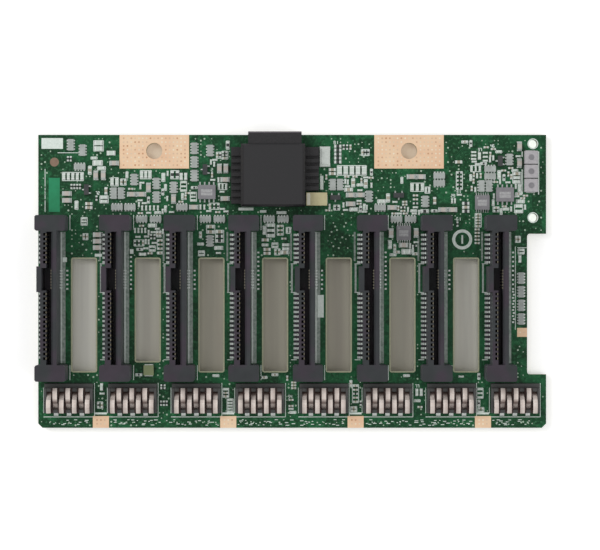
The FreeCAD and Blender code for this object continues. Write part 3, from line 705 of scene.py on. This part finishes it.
ceramic = Finish("capacitor_ceramic")
ceramic.surface(ceramic.mix(ceramic.noise(2.5), paint(172, 164, 152), paint(212, 206, 200)), 0.4)
dress(ceramic, "ceramic_capacitors")
resistor = Finish("resistor_ceramic")
resistor.surface(resistor.mix(resistor.noise(2.0), paint(140, 146, 142), paint(190, 196, 192)), 0.4)
dress(resistor, "resistor_arrays")
resin = Finish("chip_resin")
spot = resin.place()
resin.surface(resin.mix(resin.noise(3.0, 2.0, spot), paint(50, 52, 54), paint(72, 74, 74)), 0.5,
              relief=resin.noise(0.15, 2.0, spot), height=0.01)
dress(resin, "transistors")
worn_resin = Finish("worn_chip_resin")
spot = worn_resin.place()
worn_resin.surface(worn_resin.mix(worn_resin.noise(2.0, 3.0, spot), paint(116, 113, 118),
                                  paint(146, 145, 148)), 0.5)
dress(worn_resin, "logic_chips", "driver_chips")
dress(tin, "driver_chip_leads")
capacitors = solids_of("ceramic_capacitors")
arrays = solids_of("resistor_arrays")
piece("capacitor_caps", tablets(*reach(capacitors, (-0.45, 0.03), 0.02, (0, None)), 0.06), tin)
array_row = (np.arange(4) - 1.5) * 0.8
piece("part_pads", together(tablets(*reach(capacitors, (-0.1, 0.35), 0.06, (0, 0.12)), 0.1),
                            tablets(*studs(arrays, array_row, 0.46, (0.1, 0.35), (0, 0.1)), 0.06)),
      solder)


def leads(solids, offsets, width, out, sides=(0, 2)):
    """Bent leads down the long sides of moulded parts: each leaves the side at mid height, drops,
    and runs out flat. offsets are along the part; side 0 is to its left, looking along it."""
    shapes = []
    for low, high in solids:
        size = high - low
        turned = 1 if size[1] > size[0] else 0
        across = size[1 - turned]
        drop = min(size[2] * 0.55, 0.6)
        line = [(across / 2 - 0.02, drop), (across / 2 + out * 0.4, drop),
                (across / 2 + out * 0.55, 0.05), (across / 2 + out, 0.04)]
        shape = strips(line, width, 0.12, 2)
        shape[..., 2] += low[2]
        middle = (low + high)[:2] / 2
        for side in sides:
            places = np.repeat(middle[None], len(offsets), 0)
            places[:, turned] += offsets
            turn = (side + 1 if not turned else side)
            shapes.append(lofts(placed(shape, places, np.full(len(offsets), turn))))
    return together(*shapes)


array_height = arrays[0, 1, 2] - arrays[0, 0, 2]
piece("array_terminals",
      tablets(*studs(arrays, array_row, 0.44, (0.28, 0.03), (0, array_height + 0.02)), 0.05), tin)
transistors = solids_of("transistors")
logic = solids_of("logic_chips")
piece("transistor_leads",
      together(leads(transistors, np.array([-0.95, 0.95]), 0.4, 0.6, (0,)),
               leads(transistors, np.array([0.0]), 0.4, 0.6, (2,))), tin)
piece("logic_leads", leads(logic, (np.arange(6) - 2.5) * 0.65, 0.3, 0.75), tin)

chip_print = Finish("chip_print")
chip_print.surface(chip_print.mix(chip_print.noise(0.5, 3.0), paint(136, 136, 138),
                                  paint(196, 196, 196)), 0.5)
marked = np.concatenate([logic, solids_of("driver_chips")])
middle = marked.mean(1)
size = marked[:, 1] - marked[:, 0]
field = np.column_stack([size[:, :2] * (0.32, 0.1), np.zeros(len(marked))])
lift = np.column_stack([np.zeros((len(marked), 2)), size[:, 2] / 2])
chip_top = marked[0, 1, 2]
dots = rounds(marked[:, 0, :2] + size[:, :2] * (0.18, 0.82), 0.24, chip_top, chip_top + 0.01)
rows = [(middle + lift - field + (0, drop, 0), middle + lift + field + (0, drop, 0.012))
        for drop in (-0.55, 0.35)]
piece("chip_print", together(*[tablets(low, high, 0.005) for low, high in rows], dots), chip_print)

ferrite = Finish("inductor_ferrite")
ferrite.surface(ferrite.mix(ferrite.noise(0.5, 3.0), paint(154, 150, 154), paint(194, 192, 194)),
                0.55)
dress(ferrite, "power_inductors")
coils = solids_of("power_inductors")
coil_middles = coils[:, :, :2].mean(1)
coil_top = coils[0, 1, 2]
piece("inductor_lids", rounds(coil_middles, 0.8, coil_top, coil_top + 0.08, 20), worn_resin)
piece("inductor_terminals", tablets(*reach(coils, (-0.3, 0.25), -0.5, (0, 0.5)), 0.08), tin)

tantalum = Finish("tantalum_resin")
tantalum.surface(tantalum.mix(tantalum.noise(1.5, 2.0), paint(176, 168, 128),
                              paint(206, 198, 158)), 0.45)
dress(tantalum, "tantalum_capacitors")
tantalums = solids_of("tantalum_capacitors")
piece("tantalum_terminals", tablets(*reach(tantalums, (-0.1, 0.12), -0.6, (0, 1.3)), 0.05), tin)
low, high = tantalums[0]
band_paint = Finish("polarity_band")
band_paint.surface(paint(228, 226, 206), 0.5)
piece("polarity_band", tablets([low[0] + 0.2, low[1] + 0.15, high[2]],
                               [low[0] + 1.1, high[1] - 0.15, high[2] + 0.02], 0.01), band_paint)

can = Finish("crystal_can")
can.surface(can.mix(can.noise(0.8, 2.0), paint(206, 214, 208), paint(240, 246, 240)), 0.35,
            metallic=0.6)
dress(can, "crystal")
crystals = solids_of("crystal")
low, high = crystals[0]
piece("crystal_lid", tablets([low[0] + 0.3, low[1] + 0.3, high[2]],
                             [high[0] - 0.3, high[1] - 0.3, high[2] + 0.12], 0.1), can)
piece("crystal_pads", tablets(*reach(crystals, (-0.8, 0.25), 0.1, (0, 0.15)), 0.08), solder)
sensor = Finish("sensor_resin")
sensor.surface(paint(138, 148, 108), 0.5)
dress(sensor, "temperature_sensor")
sensors = solids_of("temperature_sensor")
piece("sensor_pads", tablets(*reach(sensors, (-0.3, 0.3), -0.2, (0, 0.15)), 0.08), solder)


# ---- Printed legend --------------------------------------------------------------------------
# White epoxy ink: outlines round parts, plain numbers, blank labels and a ring. A grid of cells
# keeps count of what each part, label and hole takes, so that no two stand on the same place.
CELL = 0.1
GUIDE_HOLES = [(67.2, 38.1), (67.2, 17.5)]
busy = np.zeros((int(board_high[0] * 2 / CELL) + 2,
                 int((board_high[1] - board_low[1]) / CELL) + 2), bool)


def cells(x0, x1, y0, y1):
    """The grid lines nearest to a rectangle's sides, counted from the board's low corner."""
    return [int(round((value - board_low[axis]) / CELL))
            for value, axis in ((x0, 0), (x1, 0), (y0, 1), (y1, 1))]


def block_out(x0, x1, y0, y1, margin=0.0):
    """Marks the cells of a rectangle as taken."""
    i0, i1, j0, j1 = np.maximum(cells(x0 - margin, x1 + margin, y0 - margin, y1 + margin), 0)
    busy[i0:i1, j0:j1] = True


def claim(x0, x1, y0, y1):
    """Takes a rectangle if all its cells are free and on the board."""
    i0, i1, j0, j1 = cells(x0, x1, y0, y1)
    inside = i0 >= 3 and j0 >= 3 and i1 < busy.shape[0] - 5 and j1 < busy.shape[1] - 5
    if not inside or busy[i0:i1, j0:j1].any():
        return False
    busy[i0:i1, j0:j1] = True
    return True


for box in openings:
    block_out(box[0, 0], box[1, 0], box[0, 1], box[1, 1], 0.6)
block_out(openings[7][0, 0], board_high[0] + 1, openings[7][0, 1], openings[7][1, 1], 0.8)
for k, x in enumerate(bays):
    block_out(x - 4.0, x + 4.6, receptacle_foot, receptacle_head, 0.25)
    low, high = [np.array(c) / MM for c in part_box(f"carrier_contact_base_{k + 1}")]
    block_out(low[0], high[0], low[1] - 0.8, high[1] + 0.8, 0.3)
for node, margin in (("ground_pads", 0.25), ("ceramic_capacitors", 0.4), ("resistor_arrays", 0.4),
                     ("driver_chip_leads", 0.1), ("driver_chips", 0.2), ("power_inductors", 0.3),
                     ("tantalum_capacitors", 0.3), ("crystal", 0.4), ("temperature_sensor", 0.5),
                     ("transistors", 0.65), ("logic_chips", 0.8)):
    for low, high in solids_of(node):
        block_out(low[0], high[0], low[1], high[1], margin)
block_out(cable_low[0], cable_high[0], cable_low[1], cable_high[1], 0.2)
for x, y in GUIDE_HOLES:
    block_out(x, x, y, y, 1.9)

legend = Finish("legend_ink")
legend.surface(legend.mix(legend.noise(0.5, 3.0), paint(196, 212, 200), paint(248, 255, 250)), 0.55)
SEGMENTS = np.array([((0, 4), (2, 4)), ((2, 4), (2, 2)), ((2, 2), (2, 0)), ((2, 0), (0, 0)),
                     ((0, 0), (0, 2)), ((0, 2), (0, 4)), ((0, 2), (2, 2))], float)
LIT = ["012345", "12", "01643", "01623", "5612", "05623", "056432", "012", "0123456", "651023"]
strokes = []


def number(value, x, y, height):
    """Adds a plain number: each digit is made of strokes on a grid two wide and four high."""
    for place, digit in enumerate(str(value)):
        lit = SEGMENTS[[int(c) for c in LIT[int(digit)]]]
        strokes.extend(lit * height / 4 + (x + place * height * 0.75, y))


def outline(x0, x1, y0, y1):
    """Adds a rectangle of four strokes."""
    corners = np.array([(x0, y0), (x1, y0), (x1, y1), (x0, y1)], float)
    strokes.extend(np.stack([corners, np.roll(corners, -1, 0)], 1))


vent_middles = (openings[:7, 0, 0] + openings[:7, 1, 0]) / 2
vent_top = openings[0, 1, 1] + VENT_INSET
for k, x in enumerate(bays):
    strokes.extend(np.array([((x + 4.95, receptacle_foot), (x + 4.95, receptacle_foot + 4.2)),
                             ((x + 4.95, receptacle_head - 4.0),
                              (x + 4.95, receptacle_head + 0.2))]))
    if k:
        strokes.extend(np.array([((x - 4.5, 4.6), (x - 2.8, 4.6)),
                                 ((x - 4.5, -3.4), (x - 2.8, -3.4)),
                                 ((x - 4.45, -22.2), (x - 2.8, -22.2))]))
    low, high = [np.array(c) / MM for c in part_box(f"carrier_contact_base_{k + 1}")]
    strokes.extend(np.array([((low[0] - 0.3, low[1] - 0.45), (high[0] + 0.3, low[1] - 0.45)),
                             ((low[0] - 0.3, low[1] + 0.6), (low[0] - 0.3, high[1] - 1.3)),
                             ((high[0] + 0.3, low[1] - 0.45), (high[0] + 0.3, high[1]))]))
worn_ink = Finish("worn_ink")
rubbed = worn_ink.noise(0.7, 3.0) * 0.6 + worn_ink.tone() - 0.3
worn_ink.surface(worn_ink.mix(worn_ink.step(rubbed, 0.0, 1.0), paint(66, 92, 76),
                              paint(206, 214, 208)), 0.55)
foot_end, head_end = receptacle_foot + 4.7, receptacle_head - 4.5
# each line: distance from the bay, its two ends, its width, and how much of its ink is left
worn_lines = [(3.0, foot_end, head_end, 1.4, 0.42), (2.55, foot_end, head_end, 0.42, 0.85),
              (-4.2, -3.4, 4.6, 0.5, 0.55), (-4.45, 5.4, head_end, 0.5, 0.4)]
inks, shades = [], []
for level, (side, start, stop, width, shade) in enumerate(worn_lines):
    lines = [((x + side, start), (x + side, stop)) for x in (bays[1:] if side < 0 else bays)]
    inks.append(bars(np.array(lines), width, FACE, FACE + 0.02 + 0.006 * level))
    shades.append(np.full(len(inks[-1][0]), shade))
piece("receptacle_outline_ink", together(*inks), worn_ink,
      tone=np.concatenate(shades))

labels = [(board_low[0] + 0.9, board_low[0] + 6.9, board_high[1] - 3.9, board_high[1] - 0.9)]
labels += [(bays[0] + 2.9, bays[0] + 4.1, 5.1, 6.4), (bays[1] + 3.9, bays[1] + 4.9, 7.4, 8.7)]
block_out(*labels[0], 0.3)
labels.append((bays[4] + 2.95, bays[4] + 4.7, -10.4, -4.1))
labels.append((bays[1] - 5.9, bays[1] - 3.9, vent_top + 0.4, vent_top + 1.2))
strip_low = (board_low[0] + 2.9, receptacle_head + 1.1)
strip_high = (board_low[0] + 6.0, receptacle_head + 10.6)
block_out(strip_low[0], strip_high[0], strip_low[1], strip_high[1], 0.4)
block_out(board_low[0] + 2.9, board_low[0] + 6.3, board_high[1] - 9.8, board_high[1] - 5.8, 0.2)
ring_x, ring_y = bays[6] + 7.8, 11.4
block_out(ring_x - 3, ring_x + 3, ring_y - 3, ring_y + 3)


# ---- Small chip parts ------------------------------------------------------------------------
# Chip resistors and capacitors a millimetre or two long, set in banks between the larger parts and
# soldered down by their tinned ends. Their outlines and numbers join the printed legend.
draw = np.random.default_rng(23)
# length, width and height of the four kinds
SIZES = np.array([(1.0, 0.5, 0.35), (1.0, 0.5, 0.3), (1.6, 0.8, 0.45), (2.0, 1.25, 0.6)])
chips = []


def bank(zone, tries, shares):
    """Tries to set banks of like chips side by side at free places in a zone."""
    x0, x1, y0, y1 = zone
    for _ in range(tries):
        length, width, height = SIZES[draw.choice(len(SIZES), p=shares)]
        count = int(draw.integers(1, 6))
        turned = draw.random() < 0.5
        pitch = width + draw.choice([0.3, 0.45, 0.6])
        along = (count - 1) * pitch + width
        deep = length + 0.6
        size = np.array([along, deep] if turned else [deep, along]) + 0.25
        x = round(draw.uniform(x0, max(x0, x1 - size[0])) * 4) / 4
        y = round(draw.uniform(y0, max(y0, y1 - size[1])) * 4) / 4
        if not claim(x, x + size[0], y, y + size[1]):
            continue
        middle = np.array([x, y]) + size / 2
        tone = draw.random()
        for n in range(count):
            step = (n - (count - 1) / 2) * pitch
            shift = (step, 0) if turned else (0, step)
            chips.append((*(middle + shift), turned, length, width, height,
                          np.clip(tone + draw.normal(0, 0.12), 0, 1)))
        if draw.random() < 0.6:
            outline(x + 0.06, x + size[0] - 0.06, y + 0.06, y + size[1] - 0.06)
        elif draw.random() < 0.5 and claim(x, x + 1.4, y + size[1], y + size[1] + 1.0):
            number(int(draw.integers(1, 99)), x + 0.15, y + size[1] + 0.1, 0.8)


# the share of each kind of chip in a bank
COMMON = [0.3, 0.2, 0.38, 0.12]
FINE = [0.5, 0.3, 0.2, 0.0]
for zone, tries, shares in (((-66.0, -48.6, 19.1, 39.7), 120, COMMON),
                            ((-50.9, -28.5, 18.6, 30.8), 520, COMMON),
                            ((-29.1, -16.8, 18.6, 39.2), 420, COMMON),
                            ((7.8, 23.1, 18.6, 32.2), 420, COMMON),
                            ((9.0, 22.1, 32.2, 39.7), 4, FINE),
                            ((23.1, 41.3, 18.6, 24.4), 260, COMMON),
                            ((29.0, 47.0, 24.0, 31.0), 24, FINE),
                            ((49.6, 58.8, 18.2, 37.4), 2400, COMMON),
                            ((57.0, 65.4, 18.2, 34.4), 2400, COMMON),
                            ((44.1, 50.0, 18.2, 34.4), 26, FINE),
                            ((47.0, 56.5, 36.4, 39.4), 14, FINE)):
    bank(zone, tries, shares)
for k, tries in enumerate((12, 900, 300, 600, 0, 2400, 14)):
    middle = vent_middles[k] + BLOCK_OFFSET
    bank((middle - 4.6, middle + 4.7, vent_top + 0.5, 18.9), tries, COMMON if tries > 100 else FINE)
bank((62.0, 65.4, -14.0, 12.8), 120, FINE)
for k in range(7):
    gap = (bays[k] + 11.6, bays[k + 1] - 2.2)
    bank((gap[0] - 0.1, gap[1] + 0.2, -37.2, -27.0), 24, FINE)
    bank((bays[k] + 4.9, bays[k] + 13.0, -28.3, -25.9), 30, FINE)


def fill(zone, tries):
    """Tries to set single small chips in the gaps that the banks left in a zone."""
    x0, x1, y0, y1 = zone
    xs, ys = draw.uniform(x0, x1, tries), draw.uniform(y0, y1, tries)
    for x, y, turned, tone in zip(np.round(xs, 1), np.round(ys, 1), draw.random(tries) < 0.5,
                                  draw.random(tries)):
        size = np.array([0.65, 1.45] if turned else [1.45, 0.65])
        if claim(x, x + size[0], y, y + size[1]):
            chips.append((x + size[0] / 2, y + size[1] / 2, turned, 1.0, 0.5, 0.35, tone * 0.8))


bank((50.3, 53.0, 13.6, 18.8), 300, COMMON)
fill((49.6, 65.0, 19.0, 34.8), 6000)
fill((vent_middles[5] - 3.6, vent_middles[5] + 4.3, vent_top + 0.4, 19.6), 2500)
fill((-29.1, -17.0, 18.6, 34.0), 150)
fill((-47.0, -30.0, 18.6, 29.6), 150)
fill((vent_middles[1] - 3.4, vent_middles[1] + 4.0, vent_top + 0.6, 19.0), 900)
fill((9.0, 22.0, 18.6, 30.0), 500)
# blank labels round the cable receptacle, then the frame round the power inductors
blanks = [(7.8, 8.7, 25.3, 29.2), (7.8, 8.7, 36.7, 38.4), (3.1, 3.9, 38.4, 39.9),
          (-16.6, -15.3, 38.1, 39.3), (-14.9, -13.4, 38.4, 39.3), (8.9, 9.8, 18.3, 21.0),
          (-4.4, -1.6, 18.5, 19.3), (-15.0, -10.8, 19.5, 20.3), (-9.0, -7.2, 18.9, 19.6)]
frame_low, frame_high = coils[:, 0, :2].min(0) - 0.65, coils[:, 1, :2].max(0) + 0.65
for y in np.arange(frame_low[1], frame_high[1] - 0.5, 0.5):
    blanks += [(x, x + 0.3, y, y + 0.5) for x in (frame_low[0], frame_high[0] - 0.3)]
blanks += [(frame_low[0], frame_high[0], y, y + 0.3) for y in (frame_low[1] - 0.3, frame_high[1])]
labels += [blank for blank in blanks if claim(*blank)]
# short strokes along the foot edge
xs = draw.uniform(board_low[0] + 4, board_high[0] - 4, 260)
ys = draw.uniform(-40.5, -38.7, 260)
for x, y, run in zip(xs, ys, draw.uniform(0.3, 1.1, 260)):
    if claim(x - 0.1, x + run + 0.1, y - 0.15, y + 0.15):
        strokes.append(((x, y), (x + run, y)))
parts = np.array(chips, float)
where, spun = parts[:, :2], parts[:, 2] > 0.5
length, width, height, tone = parts[:, 3], parts[:, 4], parts[:, 5], parts[:, 6]


def laid(along, across, z):
    """Boxes on the chips' places: along and across are ranges in each chip's own directions."""
    low = np.stack([np.where(spun, across[0], along[0]), np.where(spun, along[0], across[0])], -1)
    high = np.stack([np.where(spun, across[1], along[1]), np.where(spun, along[1], across[1])], -1)
    return (np.column_stack([where + low, np.zeros(len(low)) + z[0]]),
            np.column_stack([where + high, np.zeros(len(high)) + z[1]]))


chip_body = Finish("small_chip_bodies")
pale, tan, dark = paint(206, 218, 208), paint(170, 164, 146), paint(62, 66, 64)
chip_body.surface(chip_colours(chip_body, pale, tan, dark), 0.45)
chip_tin = Finish("small_chip_ends")
chip_tin.surface(chip_tin.mix(chip_tin.noise(0.5, 2.0), paint(214, 222, 216),
                              paint(250, 254, 250)), 0.4, metallic=0.3)
cap = length * 0.24
tip, side = length / 2, width / 2
bodies = laid((-tip + cap, tip - cap), (-side, side), (FACE + 0.03, FACE + height))
piece("small_chip_bodies", tablets(*bodies, 0.05), chip_body, tone=tone)
ends = [laid(span, (-side - 0.01, side + 0.01), (FACE + 0.02, FACE + height + 0.02))
        for span in ((-tip, cap - tip), (tip - cap, tip))]
piece("small_chip_ends", together(*[tablets(*end, 0.05) for end in ends]), chip_tin)
lands = [laid(span, (-side - 0.04, side + 0.04), (FACE, FACE + 0.08))
         for span in ((-tip - 0.24, cap - tip), (tip - cap, tip + 0.24))]
piece("small_chip_pads", together(*[tablets(*land, 0.05) for land in lands]), solder)


# ---- Holes and test points -------------------------------------------------------------------
# Plated holes between the layers, and small bare pads for the factory's test pins.
points = []
ladders = []
for k, x in enumerate(bays):
    for n in range(9 if k % 2 else 5):
        ladders.append((x + 4.2, -2.4 + n * 1.27))
    if k == len(bays) - 1:
        ladders.extend((x + 4.2 + 0.2 * (n % 2), -3.2 - n * 0.85) for n in range(11))
        strokes.extend([((x + 4.85, -13.8), (x + 4.85, 9.4)), ((x + 5.4, 9.1), (x + 8.2, 9.1))])
    low, high = [np.array(c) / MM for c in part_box(f"carrier_contact_base_{k + 1}")]
    for n in range(7):
        points.append((low[0] + 1.4 + n * 1.8, board_low[1] + 1.5))
xs = draw.uniform(board_low[0] + 0.6, board_high[0] - 0.6, 9000)
ys = draw.uniform(board_low[1] + 0.6, board_high[1] - 0.6, 9000)
for x, y in zip(np.round(xs * 2) / 2, np.round(ys * 2) / 2):
    if len(points) < 1500 and claim(x - 0.3, x + 0.3, y - 0.3, y + 0.3):
        points.append((x, y))
points = np.array(points)
via_finish = Finish("plated_holes")
tone_here = via_finish.tone()
via_finish.surface(via_finish.mix(tone_here > 0.42, paint(52, 108, 72), paint(176, 196, 176)), 0.4,
                   metallic=0.2)
radii = draw.choice([0.16, 0.2, 0.27], len(points))
piece("plated_holes", rounds(points, radii, FACE, FACE + 0.03, 8), via_finish,
      tone=draw.random(len(points)))
ladders = np.array(ladders)
level = np.full(len(ladders), FACE)
piece("ladder_pads", tablets(np.column_stack([ladders - (0.28, 0.24), level]),
                             np.column_stack([ladders + (0.28, 0.24), level + 0.06]), 0.04),
      solder)

pour_green = Finish("covered_pour")
pour_green.surface(pour_green.mix(pour_green.noise(2.0), paint(22, 122, 78),
                                  paint(40, 150, 104)), 0.4)
piece("covered_pour", tablets([*strip_low, FACE], [*strip_high, FACE + 0.02], 0.01), pour_green)
worn = Finish("fiducial_copper")
worn.surface(worn.mix(worn.noise(1.0, 3.0), paint(120, 96, 80), paint(158, 134, 114)), 0.5,
             metallic=0.2)
piece("fiducial", rounds([(board_low[0] + 4.5, board_high[1] - 7.6)], 1.25, FACE, FACE + 0.03, 20),
      worn)
left, head = board_low[0], board_high[1]
strokes.extend(np.array([((left + 1.9, strip_low[1]), (left + 1.9, strip_high[1] + 2.5)),
                         ((left + 5.4, head - 5.0), (left + 11.8, head - 5.0))]))
labels.append((ring_x - 0.25, ring_x + 0.25, ring_y - 1.2, ring_y + 1.2))
foot_pads = pads[2:]
for (x0, y0, _), (x1, y1, _) in foot_pads[foot_pads[:, 0, 1] < -38]:
    labels.append((x0 + 0.6, x1 - 0.6, y1 + 0.45, y1 + 1.0))
piece("legend_strokes", bars(np.array(strokes), 0.18, FACE, FACE + 0.03), legend)
label_low = np.array([(x0, y0, FACE) for x0, x1, y0, y1 in labels])
label_high = np.array([(x1, y1, FACE + 0.05) for x0, x1, y0, y1 in labels])
piece("blank_labels", tablets(label_low, label_high, 0.02), legend)
turn = np.linspace(0, 2 * np.pi, 33)[:-1]
circle = np.stack([np.cos(turn), np.sin(turn)], -1)
rings = [frames(circle * 1.25 + hole, circle * 1.5 + hole, FACE, FACE + 0.03)
         for hole in GUIDE_HOLES]
piece("guide_hole_rings", together(*rings), legend)
piece("ring_mark", frames(circle * 1.95 + (ring_x, ring_y), circle * 2.8 + (ring_x, ring_y), FACE,
                          FACE + 0.03), legend)


# ---- Floor, light and camera -----------------------------------------------------------------
# A white sheet with painted shade under the board, two broad lamps and an even white sky.
def plane(name, half, z, finish):
    """A square sheet, four corners at plus and minus half its side."""
    mesh = bpy.data.meshes.new(name)
    mesh.from_pydata([(x * half * MM, y * half * MM, z * MM)
                      for x, y in ((-1, -1), (1, -1), (1, 1), (-1, 1))], [], [(0, 1, 2, 3)])
    mesh.materials.append(finish.material)
    made = bpy.data.objects.new(name, mesh)
    bpy.context.scene.collection.objects.link(made)


FLOOR_Z = -0.6
floor = Finish("floor")
spot_below = floor.place()
across = abs(floor.part(spot_below, "X"))
along = floor.part(spot_below, "Y")
# the sheet under the board is painted grey, paler towards the sides and streaked: painted shade, seen
# through the vents and holes;
# light that only the camera sees stands in for what the sheet bounces up round the guide and screw
# holes
under = (across < 64.0) * (along > -38.0) * (along < 39.5)
paper_with_painted_shade = floor.mix(under, paint(255, 255, 255),
                  floor.mix(floor.step(across, 25.0, 60.0), paint(202, 199, 183),
                            paint(255, 255, 246)))
seen = floor.node("ShaderNodeLightPath", out="Is Camera Ray")
painted_shade_streaks = floor.node("ShaderNodeVectorMath", {"operation": "MULTIPLY"}, spot_below,
                    (0.45, 0.02, 1.0))
paper_with_painted_shade = floor.mix(floor.noise(1.0, 2.0, painted_shade_streaks) * under * 0.42, paper_with_painted_shade, paint(150, 134, 132))
near_pin = [floor.node("ShaderNodeVectorMath", {"operation": "DISTANCE"}, spot_below,
                       (x, y, FLOOR_Z), out="Value") < 1.9 for x, y in GUIDE_HOLES]
behind_screws = (abs(along - screw_holes[0][1]) < 4.0) * under
glow = floor.mix(under, (0.3, 0.3, 0.3, 1.0), floor.mix(behind_screws, (0.0, 0.0, 0.0, 1.0),
                                                        (0.27, 0.17, 0.11, 1.0)))
glow = floor.mix(near_pin[0] + near_pin[1], glow, (0.75, 0.8, 0.75, 1.0))
help_colour = floor.mix(seen, (0.0, 0.0, 0.0, 1.0), glow)
floor_shader = floor.node("ShaderNodeBsdfPrincipled", None, named={
    "Base Color": paper_with_painted_shade, "Roughness": 1.0, "Specular IOR Level": 0.0,
    "Emission Color": help_colour, "Emission Strength": 1.0})
floor.node("ShaderNodeOutputMaterial", None, floor_shader)
plane("floor", 3000, FLOOR_Z, floor)

world = bpy.data.worlds.new("sky")
world.use_nodes = True
world.node_tree.nodes["Background"].inputs["Color"].default_value = (1, 1, 1, 1)
world.node_tree.nodes["Background"].inputs["Strength"].default_value = 0.5
bpy.context.scene.world = world

for name, x, y, z, power in (("lamp_left", -750, 450, 760, 5.2),
                             ("lamp_right", 800, -250, 760, 2.8)):
    lamp = bpy.data.lights.new(name, "AREA")
    lamp.shape = "SQUARE"
    lamp.size = 0.6
    lamp.energy = power
    made = bpy.data.objects.new(name, lamp)
    bpy.context.scene.collection.objects.link(made)
    made.location = Vector((x, y, z)) * MM
    made.rotation_euler = (-made.location).to_track_quat("-Z", "Y").to_euler()

camera = bpy.data.cameras.new("camera")
camera.sensor_fit = "HORIZONTAL"
camera.sensor_width = 36.0
camera.lens = 114.1
eye = bpy.data.objects.new("camera", camera)
eye.location = (2.18 * MM, 1.47 * MM, 532.6 * MM)
bpy.context.scene.collection.objects.link(eye)
bpy.context.scene.camera = eye
bpy.context.scene.view_settings.view_transform = "Standard"
